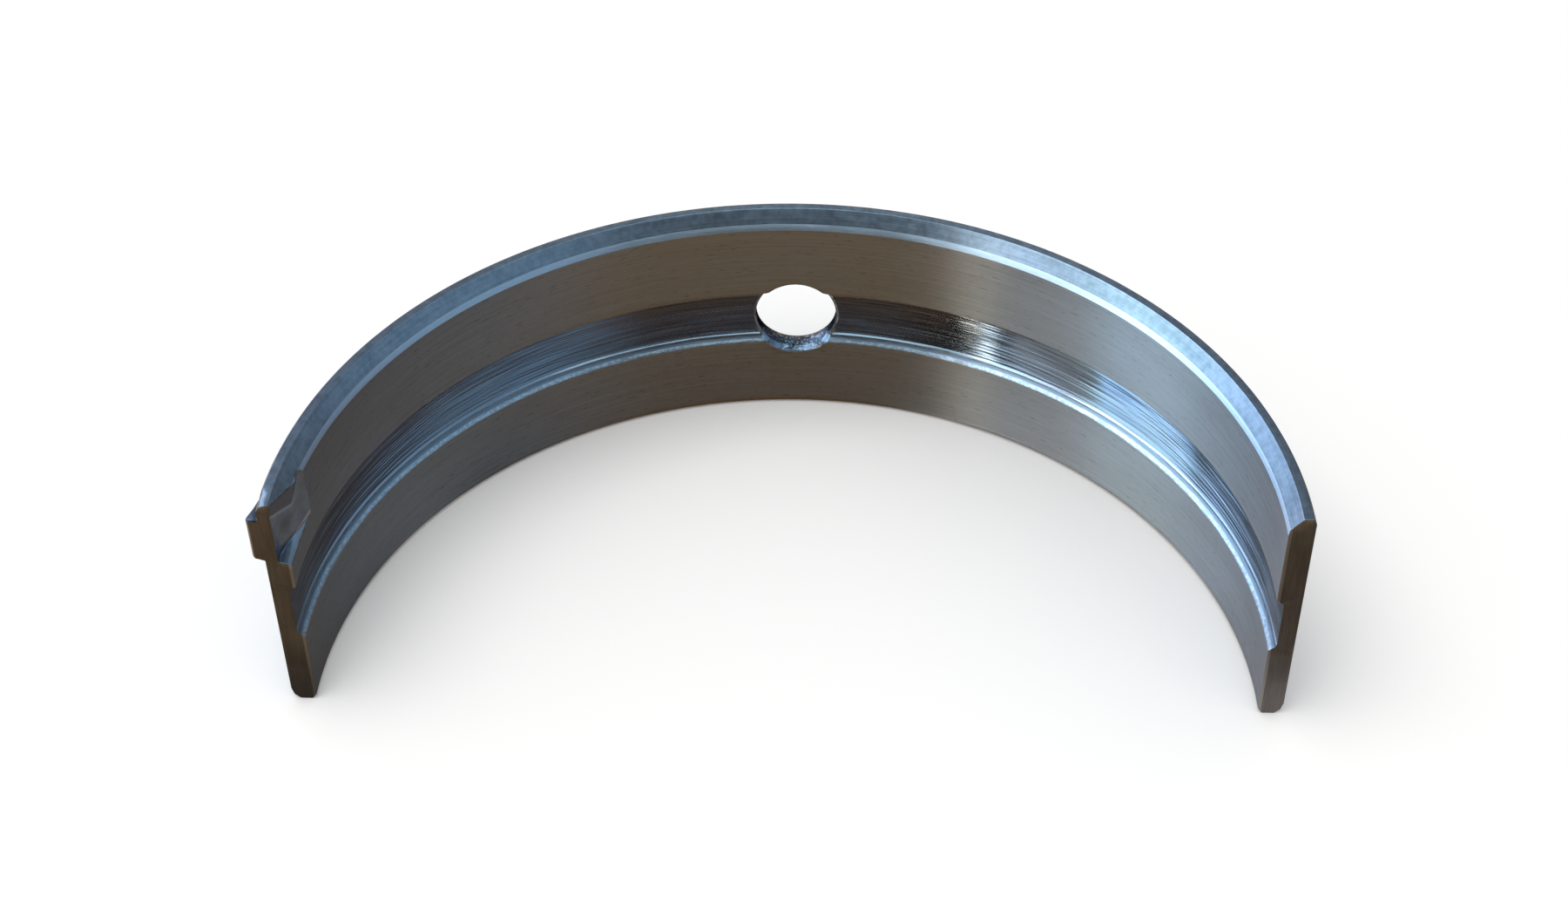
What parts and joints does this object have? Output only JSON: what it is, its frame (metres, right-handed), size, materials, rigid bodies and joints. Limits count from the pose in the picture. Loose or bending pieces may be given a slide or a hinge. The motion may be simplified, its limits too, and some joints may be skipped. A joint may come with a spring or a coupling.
{
  "type": "engine bearing shell",
  "caption": "Half-round thin-wall plain bearing shell with an oil groove along its bore, an oil hole at the crown, chamfered rims and a pressed locating lug at a parting face.",
  "frame": {"origin": "on the bearing axis at mid-width, in the plane of the two parting faces", "axes": "+Z along the bearing axis towards the rim with the wide chamfer and the lug; +Y from the axis to the crown with the oil hole; the lug is at the -X parting face"},
  "size_m": [0.081, 0.04, 0.0212],
  "materials": {
    "shell": "fine-bored lining on a satin steel back, machined rims"
  },
  "bodies": {
    "root": {"bearing_shell": "shell"}
  },
  "joints": []
}
